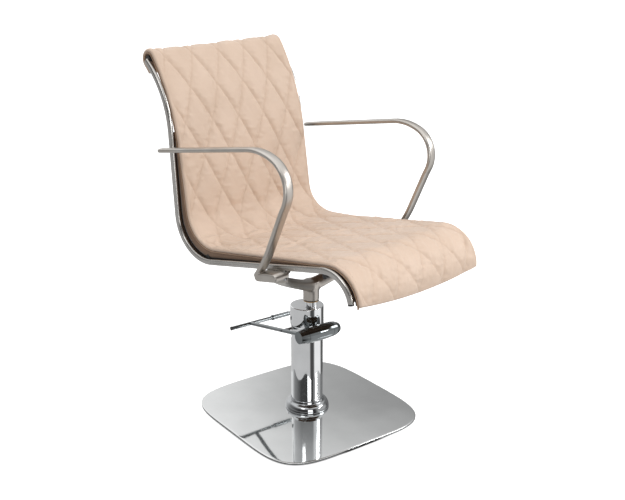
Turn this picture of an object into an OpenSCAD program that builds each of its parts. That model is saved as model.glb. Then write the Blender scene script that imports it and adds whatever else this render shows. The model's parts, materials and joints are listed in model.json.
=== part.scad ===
// Styling chair: quilted sling seat on two side rails, cast arms and yoke,
// hydraulic column with a foot lever and a square mirror-polished base.
// The chair faces -Y. The origin is on the swivel axis, on the floor.

/* [Base] */
// Half width of the base plate across the chair
plate_half_x = 250; // [200:1:300]
// Half length of the base plate along the chair
plate_half_y = 258; // [200:1:300]
// Squareness of the base outline, 2 is an ellipse
plate_power = 4.6; // [3:0.1:8]
// Height of the plate's top in its middle
plate_top = 16; // [14:0.5:18]
// Drop of the domed top from the middle to the side
plate_crown = 4; // [2:0.5:5]
// Turn of the base under the chair, seen from above
base_turn = -10.5; // [-45:0.5:45]

/* [Column] */
// Distance from the column's centre forward to the ram
ram_offset = 20; // [0:1:20]
// Radius of the column tube
column_r = 44.5; // [43:0.5:46]
// Radius of the cap on the column
cap_r = 46.4; // [46:0.1:50]
// Height of the cap's lower edge
cap_low = 266; // [255:1:280]
// Height of the cap's top face
cap_top = 323; // [315:1:330]
// Radius of the hydraulic ram
ram_r = 14; // [12:0.5:15]

/* [Foot lever] */
// Distance of the lever's hinge in front of the column centre
hinge_y = 74; // [72:1:80]
// Height of the lever's hinge
hinge_z = 268; // [260:1:275]
// Length of the barrel with both end knuckles
barrel_l = 133; // [120:1:160]
// Largest radius of the barrel
barrel_r = 22; // [18:0.5:23]
// Distance of the tread bar behind the column centre
tread_y = 225; // [180:1:240]
// Height of the tread bar
tread_z = 202; // [150:1:220]
// Length of the tread bar
tread_l = 215; // [150:1:240]
// Radius of the lever's rods
rod_r = 5.5; // [4:0.5:7]

/* [Seat frame] */
// Distance from the middle of the chair to each rail
rail_x = 239; // [220:1:260]
// Width of a rail
rail_w = 11; // [9:1:18]
// Depth of a rail, square to the upholstery
rail_d = 16; // [14:1:24]
// Distance from the middle of the chair to each arm
arm_x = 272; // [268:1:290]
// Width of an arm's flat band
arm_w = 26; // [20:1:30]
// Thickness of an arm's flat band
arm_t = 9; // [6:0.5:12]

/* [Upholstery] */
// Thickness of the leather pad at its edges
pad_t = 10; // [8:1:14]
// Thickness of the panel between the rails
panel_t = 5; // [3:0.5:6]

/* [Hidden] */
$fn = 64;

// Gap that a turning or sliding fit leaves on the radius
fit_gap = 0.03;
// Gap between parts that are glued, pressed or bolted together
seat_gap = 0.1;
// Extra length of every cutting tool
cut = 1;

// Base and pump
mat_t = 2;
plate_points = 120;
collar_r = 62;
flange_r = 57;
flange_top = 24;
bolt_circle_r = 50;
tube_wall = 2.5;
tube_top = cap_top - 24;
ram_wall = 3.5;
ram_cyl_r = 20.5;
ram_bore_r = ram_cyl_r - ram_wall;
ram_cyl_top = tube_top - 1;
ram_low = 62;
bush_r = ram_r + 5;
plunger_x = -18;
plunger_y = 25;
plunger_r = 5;

// Foot lever: places in the base's own axes
barrel_mid = -14.5;
barrel_end_r = 17;
ring_at = 42;
ring_w = 3;
shaft_r = 6;
rod_front_x = -73;
rod_front_z = hinge_z + 8;
rod_rear_x = -41;
lever_run = tread_y + hinge_y;
pin_y = plunger_y + 2;
pin_r = 4;
bracket_h = 16;
blunt_r = 12;
pin_part = (tread_y - pin_y) / lever_run;
pin_rod_x = rod_rear_x + (rod_front_x - rod_rear_x) * pin_part;
pin_z = tread_z + (rod_front_z - tread_z) * pin_part;
plunger_top = pin_z - pin_r - 0.3;

// Swivel
ring_top = cap_top + 18;
washer_t = 2;
hub_low = ring_top + washer_t;
spigot_r = 11;
spigot_top = hub_low + 41;
hub_r = 22;
hub_top = 404;
recess_r = 17;

// Yoke limbs run straight from the hub to the arms' feet
limb_rise = 0.452;
limb_sweep = 0.415;
limb_start_z = 382;
yoke_end_x = 236;
foot_y = -114;
foot_l = 72;
foot_h = 18;
yoke_stud_y = [-132, -96];
arm_screw_y = [-142, -114, -86];
arm_screw_x = rail_x + 6;
stud_depth = 14;

// Rails, arms and upholstery are flat curves in the plane X = constant.
// A path is [start [y, z], heading, [segments]], each segment a line or an arc,
// and a positive turn is to the left, seen from +X.
rail_slope = 10;
rail_path = [
    [-348, 488], 77, [
        ["arc", 78.2, -87], ["line", 395], ["arc", 111, 96.4], ["line", 218], ["arc", 259, -45]
    ]
];
arm_path = [
    [274, 758], 171.8, [
        ["line", 335], ["arc", 149, 32.8], ["arc", 76.5, 94.8], ["arc", 161.5, -5.2], ["line", 105],
        ["arc", 350, 12], ["line", 14]
    ]
];
roll_r = 24;
pad_path = [
    [-371, 473], 88.5, [
        ["arc", 93.7, -95.8], ["line", 392.5], ["arc", 91.3, 89.4], ["line", 165],
        ["arc", 550, -26.6], ["line", 5], ["arc", roll_r, -187], ["line", 26]
    ]
];
pad_x = rail_x - rail_w / 2 - 0.5;
panel_low = -7;
band_t = 7;
band_w = 10;
foam_low = panel_low + panel_t + 0.3;
foam_top = 3;
foam_x = 205;
arc_step = 5;

function normal(h) = [-sin(h), cos(h)];
function along(h) = [cos(h), sin(h)];

// Place and heading at the end of one segment
function seg_end(seg, p, h) =
    seg[0] == "line"
        ? p + seg[1] * along(h)
        : p + sign(seg[2]) * seg[1] * (normal(h) - normal(h + seg[2]));
function seg_turn(seg) = seg[0] == "line" ? 0 : seg[2];

// Place and heading at the end of the first n segments of a path
function path_point(path, n) = n == 0 ? path[0]
    : seg_end(path[2][n - 1], path_point(path, n - 1), path_heading(path, n - 1));
function path_heading(path, n) = n == 0 ? path[1] : path_heading(path, n - 1) + seg_turn(path[2][n - 1]);

// Turns a drawing in the plane (y, z) up onto the side of the chair, with its thickness along X
module on_side() {
    rotate([90, 0, 90]) children();
}

// One segment of a sweep; the profile's x is square to the path and its y is across the chair
module sweep_segment(seg, p, h) {
    translate([p[0], p[1], 0]) rotate([0, 0, h]) {
        if (seg[0] == "line") {
            rotate([90, 0, 90]) linear_extrude(seg[1]) children();
        } else if (seg[2] > 0) {
            translate([0, seg[1], 0]) rotate([0, 0, -90]) rotate_extrude(angle = seg[2], $fn = 128)
                translate([seg[1], 0]) mirror([1, 0]) children();
        } else {
            translate([0, -seg[1], 0]) rotate([0, 0, 90 + seg[2]]) rotate_extrude(angle = -seg[2], $fn = 128)
                translate([seg[1], 0]) children();
        }
    }
}

// Sweeps a profile (the first child) along segments first to last of a path. The second child is
// a smaller profile, a short core that ties each segment to the next one.
module sweep(path, first = 0, last = undef) {
    stop = last == undef ? len(path[2]) - 1 : last;
    on_side() {
        for (i = [first:stop])
            sweep_segment(path[2][i], path_point(path, i), path_heading(path, i)) children(0);
        for (i = [first + 1:1:stop])
            sweep_segment(["line", 1], path_point(path, i) - along(path_heading(path, i)) / 2,
                path_heading(path, i))
                children(1);
    }
}

module both_sides() {
    children();
    mirror([1, 0, 0]) children();
}

// Puts base parts, drawn about the column's centre, under the chair
module on_base() {
    rotate([0, 0, base_turn]) translate([0, ram_offset, 0]) children();
}

module tube(r_out, r_in, z_low, z_high) {
    translate([0, 0, z_low]) difference() {
        cylinder(r = r_out, h = z_high - z_low);
        translate([0, 0, -cut]) cylinder(r = r_in, h = z_high - z_low + 2 * cut);
    }
}

module disc(r, z_low, z_high) {
    translate([0, 0, z_low]) cylinder(r = r, h = z_high - z_low);
}

// Outline between an ellipse and a rectangle: (x / rx)^n + (y / ry)^n = 1
module superellipse(rx, ry, power, points) {
    polygon([for (i = [0:points - 1]) let (a = 360 * i / points, c = cos(a), s = sin(a))
        [sign(c) * pow(abs(c), 2 / power) * rx, sign(s) * pow(abs(s), 2 / power) * ry]]);
}

module plate_outline(inset) {
    superellipse(plate_half_x - inset, plate_half_y - inset, plate_power, plate_points);
}

// Height of the domed plate at a distance from its middle
function dome(r) = plate_top - plate_crown * pow(r / plate_half_x, 2);

module at_bolts() {
    for (a = [45:90:315]) rotate([0, 0, a]) translate([bolt_circle_r, 0, 0]) children();
}

module floor_mat() color("dimgray") on_base() linear_extrude(mat_t) plate_outline(9);

module base_plate() color("gainsboro") on_base() {
    reach = plate_half_x + plate_half_y;
    difference() {
        intersection() {
            translate([0, 0, mat_t]) linear_extrude(plate_top) plate_outline(0);
            rotate_extrude($fn = 128)
                polygon([
                    [0, 0],
                    for (part = [0:0.05:1]) [part * reach, max(mat_t, dome(part * reach))],
                    [reach, 0],
                ]);
        }
        disc(collar_r + 0.5, plate_top - 0.4, plate_top + cut);
        at_bolts() disc(5.3, 0, plate_top + cut);
        at_bolts() disc(8.6, 0, mat_t + 7);
    }
}

module base_bolts() color("dimgray") on_base() at_bolts() {
    disc(8.2, mat_t + 0.5, mat_t + 6.9);
    disc(5, mat_t + 0.5, flange_top - cut);
}

module pump_flange() color("darkgray") on_base() difference() {
    disc(flange_r, plate_top - 0.4, flange_top);
    at_bolts() disc(5.2, 0, flange_top + cut);
}

module base_collar() color("silver") on_base() rotate_extrude() difference() {
    union() {
        translate([collar_r - 12, plate_top + 8.6]) circle(r = 12);
        translate([column_r, plate_top - 0.4]) square([8, 21]);
        translate([column_r, plate_top]) square([2.2, 30]);
    }
    translate([0, -collar_r]) square([collar_r * 2, collar_r + plate_top - 0.4]);
    translate([0, 0]) square([flange_r + 1, flange_top + 1]);
    translate([0, 0]) square([column_r + seat_gap, 100]);
}

module column_tube() color("silver") on_base() difference() {
    tube(column_r, column_r - tube_wall, flange_top, tube_top);
    // slot for the pin of the foot lever
    translate([-column_r - cut, pin_y - 11, pin_z - 28]) cube([28, 20, 36]);
}

module ram_cylinder() color("darkgray") difference() {
    disc(ram_cyl_r, flange_top, ram_cyl_top);
    disc(ram_bore_r, flange_top + 6, ram_cyl_top + cut);
}

module pump_cap() color("silver") difference() {
    on_base() rotate_extrude() difference() {
        union() {
            translate([0, cap_low + 4]) square([cap_r, cap_top - cap_low - 6]);
            translate([0, cap_low]) square([cap_r - 4, cap_top - cap_low]);
            translate([cap_r - 4, cap_low + 4]) circle(r = 4);
            translate([0, cap_top - 6]) square([cap_r - 2, 6]);
            translate([cap_r - 2, cap_top - 2]) circle(r = 2);
        }
        square([column_r + seat_gap, tube_top + seat_gap]);
    }
    disc(bush_r + seat_gap, tube_top - cut, cap_top - 3);
    disc(ram_r + 1, tube_top - cut, cap_top + cut);
}

module ram_bush() color("darkgoldenrod") tube(bush_r, ram_r + fit_gap, tube_top + 0.2, cap_top - 3.2);

module ram_seal() color("black")
    tube(ram_bore_r - 0.02, ram_r + fit_gap, ram_cyl_top - 12, ram_cyl_top - 6);

module plunger_cylinder() color("darkgray") on_base() translate([plunger_x, plunger_y, 0])
    difference() {
        disc(9.8, flange_top, 196);
        disc(plunger_r + fit_gap, flange_top + 14, 196 + cut);
    }

// Carries the lever's housing under the edge of the cap
module lever_bracket() color("silver") on_base() difference() {
    translate([barrel_mid - 15, -hinge_y + 8, cap_low - bracket_h - 1]) cube([30, 36, bracket_h]);
    disc(column_r + seat_gap, 0, cap_top);
    along_barrel(-100, 200) circle(r = barrel_r + seat_gap);
    bracket_screw_places() disc(2.5, -cut, bracket_h - 2);
}

module bracket_screw_places() {
    for (x = [-8, 8])
        translate([barrel_mid + x, -column_r - 5, cap_low - bracket_h - 1]) children();
}

module bracket_screws() color("dimgray") on_base() bracket_screw_places() {
    disc(4, -2.6, -0.1);
    disc(2.4, -0.5, bracket_h - 3);
}

// Draws a solid along the lever's hinge axis, from x for a length
module along_barrel(x, length) {
    translate([barrel_mid + x, -hinge_y, hinge_z]) rotate([90, 0, 90]) linear_extrude(length) children();
}

// Slice of the barrel between two places on its axis, with a bore for the shaft
module barrel_slice(x_low, x_high, extra = 0) {
    swell = (barrel_l * barrel_l / 4) / (2 * (barrel_r - barrel_end_r));
    translate([barrel_mid, -hinge_y, hinge_z]) rotate([0, 90, 0]) rotate_extrude(angle = 360, $fn = 96)
        difference() {
            intersection() {
                translate([0, x_low]) square([barrel_r + 5, x_high - x_low]);
                translate([barrel_r + extra - swell, 0]) circle(r = swell, $fn = 720);
            }
            translate([0, -barrel_l]) square([shaft_r + 3, barrel_l * 2]);
        }
}

module lever_housing() color("silver") on_base()
    barrel_slice(-ring_at + ring_w + 0.2, ring_at - ring_w - 0.2);

module housing_rings() color("gainsboro") on_base() for (side = [-1, 1]) {
    near = ring_at - ring_w;
    barrel_slice(side > 0 ? near : -ring_at, side > 0 ? ring_at : -near, 0.6);
}

module shaft_bushes() color("darkgoldenrod") on_base() for (x = [-ring_at + ring_w, ring_at - ring_w - 12])
    along_barrel(x, 12) difference() {
        circle(r = shaft_r + 2.9);
        circle(r = shaft_r + fit_gap);
    }

module cross_shaft() color("darkgray") on_base()
    along_barrel(-barrel_l / 2 + 6, barrel_l - 12) circle(r = shaft_r);

// Knuckles are fixed on the shaft and turn beside the housing
module knuckle(side) {
    near = ring_at + 0.4;
    far = barrel_l / 2;
    low = side > 0 ? near : -far;
    high = side > 0 ? far : -near;
    barrel_slice(low, high);
    along_barrel(low + (side > 0 ? 0 : 6), high - low - 6) difference() {
        circle(r = shaft_r + 3.2);
        circle(r = shaft_r + 0.01);
    }
    along_barrel(side > 0 ? far - 6 : -far, 6) circle(r = shaft_r + 3.2);
}

module left_knuckle() color("silver") on_base() difference() {
    knuckle(-1);
    rod_segment(rod_r + 0.05);
}

module right_knuckle() color("silver") on_base() intersection() {
    knuckle(1);
    translate([barrel_mid, -hinge_y, hinge_z]) rotate([0, 90, 0]) rotate_extrude() polygon([
        [0, ring_at], [barrel_r, ring_at], [barrel_r, ring_at + 3], [blunt_r + 3, barrel_l / 2 - 5],
        [blunt_r, barrel_l / 2], [0, barrel_l / 2]
    ]);
}

// Points along a helix about the lever's shaft
function coil_point(t, r, length, turns) = [length * t, r * cos(360 * turns * t), r * sin(360 * turns * t)];

// Round wire along a helix, as rings of points joined into one closed skin
module coil(r, wire_r, length, turns) {
    rings = turns * 12;
    sides = 6;
    pts = [for (i = [0:rings]) let (t = i / rings, p = coil_point(t, r, length, turns), a = 360 * turns * t)
        for (j = [0:sides - 1]) let (b = 360 * j / sides)
            p + [wire_r * sin(b), wire_r * cos(b) * cos(a), wire_r * cos(b) * sin(a)]];
    skin = [for (i = [0:rings - 1]) for (j = [0:sides - 1]) let (k = (j + 1) % sides)
        [i * sides + j, i * sides + k, (i + 1) * sides + k, (i + 1) * sides + j]];
    ends = [[for (j = [sides - 1:-1:0]) j], [for (j = [0:sides - 1]) rings * sides + j]];
    polyhedron(pts, concat(skin, ends), convexity = 10);
}

module lever_spring() color("dimgray") on_base()
    translate([barrel_mid - 24, -hinge_y, hinge_z]) coil(shaft_r + 1.5, 0.9, 48, 9);

// The lever's rod, from the left knuckle back to the tread bar
module rod_segment(r) {
    run = [rod_rear_x - rod_front_x, lever_run, tread_z - rod_front_z];
    length = norm(run);
    translate([rod_front_x, -hinge_y, rod_front_z])
        rotate([0, acos(run[2] / length), atan2(run[1], run[0])])
            translate([0, 0, shaft_r + 4.2]) cylinder(r = r, h = length - rod_r - shaft_r - 4.4);
}

module lever_rod() color("silver") on_base() difference() {
    rod_segment(rod_r);
    translate([pin_rod_x, pin_y, pin_z]) rotate([0, 90, 0])
        cylinder(r = pin_r + 0.01, h = 30, center = true);
}

module plunger_pin() color("darkgray") on_base() translate([pin_rod_x - 2, pin_y, pin_z])
    rotate([0, 90, 0]) cylinder(r = pin_r, h = plunger_x - pin_rod_x + 7);

tread_low = rod_rear_x - 69;
tread_high = tread_low + tread_l;
sleeve_low = tread_low + 150;

module along_tread(x, length) {
    translate([x, tread_y, tread_z]) rotate([0, 90, 0]) cylinder(r = rod_r, h = length);
}

module tread_bar() color("silver") on_base() along_tread(tread_low + 4, tread_l - 8);

module around_tread(x, length, r) {
    translate([x, tread_y, tread_z]) rotate([0, 90, 0]) difference() {
        cylinder(r = r, h = length);
        translate([0, 0, -cut]) cylinder(r = rod_r + 0.02, h = length + 2 * cut);
    }
}

module tread_ring() color("dimgray") on_base() around_tread(sleeve_low - 6, 5.5, rod_r + 2.5);

module tread_sleeve() color("lightgray") on_base() around_tread(sleeve_low, 54, rod_r + 1.6);

module tread_plugs() color("black") on_base() for (x = [tread_low, tread_high - 3.9])
    translate([x, tread_y, tread_z]) rotate([0, 90, 0]) cylinder(r = rod_r + 0.4, h = 3.9);

module plunger() color("darkgray") on_base() translate([plunger_x, plunger_y, 0]) {
    disc(plunger_r, 62, plunger_top - 4);
    disc(7.5, plunger_top - 4.5, plunger_top);
}

module ram() color("silver") {
    disc(ram_r, ram_low, ring_top);
    difference() {
        disc(spigot_r, ring_top - cut, spigot_top);
        disc(4, spigot_top - 24, spigot_top + cut);
    }
}

module ram_piston() color("darkgray") difference() {
    disc(ram_bore_r - fit_gap, ram_low - 18, ram_low - 0.05);
    translate([0, 0, ram_low - 12]) difference() {
        cylinder(r = ram_r + 5, h = 5);
        cylinder(r = ram_r, h = 5);
    }
}

module piston_seal() color("black") tube(ram_bore_r - 0.02, ram_r + 0.2, ram_low - 11.9, ram_low - 7.1);

// Fluted chrome ring that the seat's hub turns on
module fluted_ring() color("silver") difference() {
    disc(16.5, cap_top + 0.6, ring_top - 0.05);
    disc(ram_r + 0.02, cap_top - cut, ring_top + cut);
    for (a = [0:36:324]) rotate([0, 0, a]) translate([17.2, 0, 0]) disc(2.2, cap_top - cut, ring_top - 3);
}

module thrust_washer() color("darkgoldenrod") tube(hub_r - 1, spigot_r + 0.1, ring_top, hub_low - 0.05);

// One section of a yoke limb, at a distance x from the middle
module limb_section(x, wide, tall) {
    translate([x, -limb_sweep * x, limb_start_z + limb_rise * x]) scale([0.5, wide / 2, tall / 2])
        sphere(r = 1, $fn = 24);
}

module yoke_limb() {
    hull() {
        limb_section(0, 40, 40);
        limb_section(42, 38, 26);
    }
    hull() {
        limb_section(42, 38, 26);
        yoke_flange();
    }
}

// Flat flange where a limb meets the foot of an arm
module yoke_flange() {
    translate([yoke_end_x - 6, 0, 0]) on_side() linear_extrude(6)
        foot_outline(2);
}

// Flat bar with round corners
module round_bar(length, height, r) {
    square([length - 2 * r, height], center = true);
    square([length, height - 2 * r], center = true);
    for (x = [-1, 1], y = [-1, 1])
        translate([x * (length / 2 - r), y * (height / 2 - r)]) circle(r = r);
}

// Side view of an arm's foot; it hangs from the rail and leans with it
module foot_outline(inset) {
    translate([foot_y, foot_z(foot_y)]) rotate(-rail_slope)
        round_bar(foot_l - 2 * inset, foot_h - 2 * inset, foot_h / 2 - inset - 0.5);
}

// Height of the middle of an arm's foot at a place y along the seat
function foot_z(y) = rail_height(y) - (rail_d / 2 + foot_h / 2 + seat_gap) / cos(rail_slope);

// Height of a rail's centre line at a place y along the seat
function rail_height(y) = path_point(rail_path, 1)[1] - tan(rail_slope) * (y - path_point(rail_path, 1)[0]);

module yoke() color("gray") difference() {
    union() {
        disc(hub_r, hub_low, hub_top - 6);
        both_sides() yoke_limb();
    }
    disc(spigot_r + 3, hub_low - cut, hub_top);
    disc(recess_r, hub_low + 38, hub_top + 20);
    yoke_stud_places() disc(3.3, -stud_depth, 40);
}

module swivel_bush() color("darkgoldenrod")
    tube(spigot_r + 2.9, spigot_r + fit_gap, hub_low + 0.3, hub_low + 37.8);

module hub_washer() color("silver") tube(recess_r - 1, 4.4, spigot_top + 0.1, spigot_top + 2.6);

module hub_screw() color("dimgray") {
    disc(7, spigot_top + 2.7, spigot_top + 9);
    disc(3.9, spigot_top - 20, spigot_top + 3);
}

module hub_cover() color("gray") disc(recess_r - 0.1, spigot_top + 10, spigot_top + 13);

// Two studs join each flange of the yoke to an arm's foot
module yoke_stud_places() {
    both_sides() for (y = yoke_stud_y)
        translate([yoke_end_x - 6, y, foot_z(y)]) rotate([0, 90, 0]) children();
}

module yoke_studs() color("dimgray") yoke_stud_places() disc(3.1, 0.3 - stud_depth, 22);

module arm_profile() superellipse(arm_t / 2, arm_w / 2, 3, 28);

module arm() {
    difference() {
        union() {
            translate([arm_x, 0, 0]) sweep(arm_path) {
                arm_profile();
                square([arm_t / 2, arm_w / 2], center = true);
            }
            translate([yoke_end_x + 0.1, 0, 0]) on_side()
                linear_extrude(arm_x + arm_w / 2 - yoke_end_x - 3) foot_outline(0);
        }
        arm_screw_places() disc(3.3, -40, 5);
        flange_holes();
    }
}

module flange_holes() {
    for (y = yoke_stud_y)
        translate([yoke_end_x - 10, y, foot_z(y)]) rotate([0, 90, 0]) disc(3.3, 0, 30);
}

// Screws that go up through an arm's foot to the rail
module arm_screw_places() {
    for (y = arm_screw_y)
        translate([arm_screw_x, y, rail_height(y) - rail_d / 2]) rotate([-rail_slope, 0, 0]) children();
}

module left_arm() color("gray") mirror([1, 0, 0]) arm();
module right_arm() color("gray") arm();

module arm_screws() color("dimgray") both_sides() arm_screw_places() {
    disc(3.1, -foot_h, -0.3);
    disc(5, -foot_h - 4, -foot_h - 0.3);
}

module rail_profile() superellipse(rail_d / 2, rail_w / 2, 2.6, 24);

module rail() {
    translate([rail_x, 0, 0]) sweep(rail_path) {
        rail_profile();
        square(rail_w / 2, center = true);
    }
}

module left_rail() color("gray") mirror([1, 0, 0]) rail();
module right_rail() color("gray") rail();

module rail_caps() color("dimgray") both_sides() translate([rail_x, 0, 0]) on_side()
    sweep_segment(["line", 3.9], rail_path[0] - 4 * along(rail_path[1]), rail_path[1]) rail_profile();

// A cross tube between the rails, through a point of the side view
module cross_tube(p, r) {
    on_side() translate([p[0], p[1], -pad_x - 0.3]) cylinder(r = r, h = 2 * pad_x + 0.6);
}

module top_tube() color("silver")
    cross_tube(path_point(pad_path, 6) - roll_r * normal(path_heading(pad_path, 6)), 8);
module rear_tube() color("silver") cross_tube(path_point(rail_path, 2) + [20, 8], 7);
module front_tube() color("silver") cross_tube(path_point(rail_path, 1) + [-4, -15], 7);

// Points of a path, offset square to it: a line by its ends, an arc by steps of a few degrees
function path_points(path, first, last, offset) = [
    for (i = [first:last]) let (seg = path[2][i], p = path_point(path, i), h = path_heading(path, i),
        steps = ceil(abs(seg_turn(seg)) / arc_step))
        for (k = [0:max(0, steps - 1)]) let (turn = steps == 0 ? 0 : seg_turn(seg) * k / steps)
            seg_end(["arc", seg[1], turn], p, h) + offset * normal(h + turn),
    path_point(path, last + 1) + offset * normal(path_heading(path, last + 1))
];

function reversed(list) = [for (i = [len(list) - 1:-1:0]) list[i]];

// Flat layer that follows segments of a path, between two heights square to it, x_low to x_high across
module layer(path, first, last, low, high, x_low, x_high) {
    translate([x_low, 0, 0]) on_side() linear_extrude(x_high - x_low)
        polygon(concat(
            path_points(path, first, last, low),
            reversed(path_points(path, first, last, high))
        ));
}

module support_panel() color("tan")
    layer(rail_path, 0, 3, panel_low, panel_low + panel_t, -pad_x, pad_x);

module seat_foam() color("khaki")
    layer(rail_path, 1, 1, foam_low, foam_top, -foam_x, foam_x);

module lumbar_foam() color("khaki")
    layer(rail_path, 3, 3, foam_low, foam_top, -foam_x, foam_x);

module leather_pad() color("bisque")
    layer(pad_path, 0, len(pad_path[2]) - 1, -pad_t, 0, -pad_x, pad_x);

// Strip along the underside of the pad's edge
module edge_band()
    layer(pad_path, 0, 3, -pad_t - band_t, -pad_t - 0.3, pad_x - band_w - 1, pad_x - 1);

module left_edge_band() color("tan") mirror([1, 0, 0]) edge_band();
module right_edge_band() color("tan") edge_band();

floor_mat();
base_plate();
base_bolts();
pump_flange();
base_collar();
column_tube();
ram_cylinder();
pump_cap();
ram_bush();
ram_seal();
plunger_cylinder();
lever_bracket();
bracket_screws();
lever_housing();
housing_rings();
shaft_bushes();
cross_shaft();
left_knuckle();
right_knuckle();
lever_spring();
lever_rod();
plunger_pin();
tread_bar();
tread_ring();
tread_sleeve();
tread_plugs();
plunger();
ram();
ram_piston();
piston_seal();
fluted_ring();
thrust_washer();
yoke();
swivel_bush();
hub_washer();
hub_screw();
hub_cover();
yoke_studs();
left_arm();
right_arm();
arm_screws();
left_rail();
right_rail();
rail_caps();
top_tube();
rear_tube();
front_tube();
support_panel();
seat_foam();
lumbar_foam();
leather_pad();
left_edge_band();
right_edge_band();
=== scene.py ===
"""Styling chair on a hydraulic pump base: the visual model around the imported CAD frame.

Every size is in metres, in the CAD's own frame: +Z is up, the chair faces -Y and the origin is on the
swivel axis. Left and right are as seen from in front of the chair, so left is -X. A place on the leather
pad is given by s, the length along its side curve from the front hem, and x, the place across the chair.
"""

import json
import math

import bpy
import numpy as np
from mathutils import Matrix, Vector


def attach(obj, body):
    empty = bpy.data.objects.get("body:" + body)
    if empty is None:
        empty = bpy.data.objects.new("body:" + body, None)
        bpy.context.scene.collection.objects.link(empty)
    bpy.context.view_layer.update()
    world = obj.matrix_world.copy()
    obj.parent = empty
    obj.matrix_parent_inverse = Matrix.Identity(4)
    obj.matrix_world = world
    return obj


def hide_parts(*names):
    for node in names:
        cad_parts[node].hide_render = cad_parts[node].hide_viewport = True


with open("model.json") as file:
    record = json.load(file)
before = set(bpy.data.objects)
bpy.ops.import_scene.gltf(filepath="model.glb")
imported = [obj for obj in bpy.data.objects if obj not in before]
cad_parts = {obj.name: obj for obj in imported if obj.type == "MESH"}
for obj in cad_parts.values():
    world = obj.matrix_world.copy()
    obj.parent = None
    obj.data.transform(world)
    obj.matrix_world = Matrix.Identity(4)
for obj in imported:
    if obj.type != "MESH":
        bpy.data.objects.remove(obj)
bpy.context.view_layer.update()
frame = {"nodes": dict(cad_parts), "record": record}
NODES = frame["nodes"]
SIDES = ((-1, "left"), (1, "right"))

# ---------------------------------------------------------------- sizes shared with the CAD source
PAD_HALF = 0.233  # half width of the leather pad
PAD_THICK = 0.0065  # of the pad's underside below its curve
BASE_TURN = math.radians(-10.5)  # the base is turned under the chair
BASE_BACK = 0.020  # the column stands this far behind the swivel axis
PLATE_HALF_X = 0.250
PLATE_HALF_Y = 0.258
PLATE_POWER = 4.6  # of the plate's outline, between a circle and a square
PLATE_TOP = 0.016  # height of its middle
PLATE_CROWN = 0.004  # how far the top falls from there to the rim
RAIL_TOP_RADIUS = 0.259  # of the rail's last bend
RAIL_TOP_TURN = 45  # degrees
TRACK_STEP = 0.0005


class Track:
    """A curve in the side view (y, z), made of lines and arcs, with its place and normal at any length."""

    def __init__(self, start, heading, segments):
        place = np.array(start, float)
        angle = math.radians(heading)
        lengths = []
        places = []
        angles = []
        run = 0.0
        for kind, size, *turn in segments:
            turn = math.radians(turn[0]) if turn else 0.0
            length = size if kind == "line" else size * abs(turn)
            share = np.linspace(0, 1, max(3, int(length / TRACK_STEP)))[:, None]
            if kind == "line":
                points = place + share * length * np.array([math.cos(angle), math.sin(angle)])
                headings = angle + 0 * share
            else:
                radius = math.copysign(size, turn)
                headings = angle + share * turn
                before = np.array([-math.sin(angle), math.cos(angle)])
                points = place + radius * (before - np.hstack([-np.sin(headings), np.cos(headings)]))
            places.append(points)
            angles.append(headings[:, 0])
            lengths.append(run + share[:, 0] * length)
            run += length
            place = points[-1]
            angle += turn
        self.length = run
        self.s = np.concatenate(lengths)
        self.points = np.concatenate(places)
        self.angles = np.concatenate(angles)

    def at(self, s):
        """y, z, normal y, normal z at lengths s. Past its ends the curve goes on straight."""
        s = np.asarray(s, float)
        angle = np.interp(s, self.s, self.angles)
        over = s - np.clip(s, 0, self.length)
        y = np.interp(s, self.s, self.points[:, 0]) + over * np.cos(angle)
        z = np.interp(s, self.s, self.points[:, 1]) + over * np.sin(angle)
        return y, z, -np.sin(angle), np.cos(angle)


# arcs are radius and degrees of turn, from the front hem to the end of the top roll
PAD = Track((-0.371, 0.473), 88.5, [
    ("arc", 0.0937, -95.8),  # over the front edge
    ("line", 0.3925),  # the seat
    ("arc", 0.0913, 89.4),  # up into the back
    ("line", 0.165),  # the lower back
    ("arc", 0.550, -26.6),  # the upper back, which leans away
    ("line", 0.005),
    ("arc", 0.024, -187),  # over the top roll
    ("line", 0.026),  # and down behind it
])
RAIL = Track((-0.348, 0.488), 77, [
    ("arc", 0.0782, -87),  # under the front edge
    ("line", 0.395),  # under the seat
    ("arc", 0.111, 96.4),  # up into the back
    ("line", 0.218),  # behind the lower back
    ("arc", RAIL_TOP_RADIUS, -RAIL_TOP_TURN),  # leans away with the upper back
])


# ---------------------------------------------------------------- mesh helpers
def make_object(name, vertices, faces, material, smooth=True):
    mesh = bpy.data.meshes.new(name)
    mesh.from_pydata([tuple(v) for v in vertices], [], [tuple(f) for f in faces])
    mesh.validate()
    mesh.polygons.foreach_set("use_smooth", [smooth] * len(mesh.polygons))
    obj = bpy.data.objects.new(name, mesh)
    bpy.context.scene.collection.objects.link(obj)
    mesh.materials.append(material)
    return obj


def settle(piece, body, slot, *stands_for):
    """Hides the CAD nodes that a piece stands for and attaches the piece to the body that it rides on. The
    slot argument, its material slot, is not used.
    """
    if stands_for:
        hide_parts(*stands_for)
    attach(piece, body)


def round_angles(count):
    return np.linspace(0, 2 * math.pi, count, endpoint=False)


def squared_circle(angles, power):
    """Points of a circle of radius 1 at power 2, pushed out towards a square at higher powers."""
    c, s = np.cos(angles), np.sin(angles)
    return np.sign(c) * np.abs(c) ** (2 / power), np.sign(s) * np.abs(s) ** (2 / power)


def lathe_rings(profile, count):
    """Rings of points round Z through a profile of (radius, height)."""
    a = round_angles(count)
    return np.array([np.column_stack([r * np.cos(a), r * np.sin(a), z + 0 * a]) for r, z in profile])


def grid_faces(rows, cols, first=0, flip=False):
    """Quads of a grid of points stored row by row from index first."""
    r, c = np.meshgrid(np.arange(rows - 1), np.arange(cols - 1), indexing="ij")
    a = first + (r * cols + c).ravel()
    quads = np.stack([a, a + 1, a + cols + 1, a + cols], 1)
    return quads[:, ::-1] if flip else quads


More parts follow.
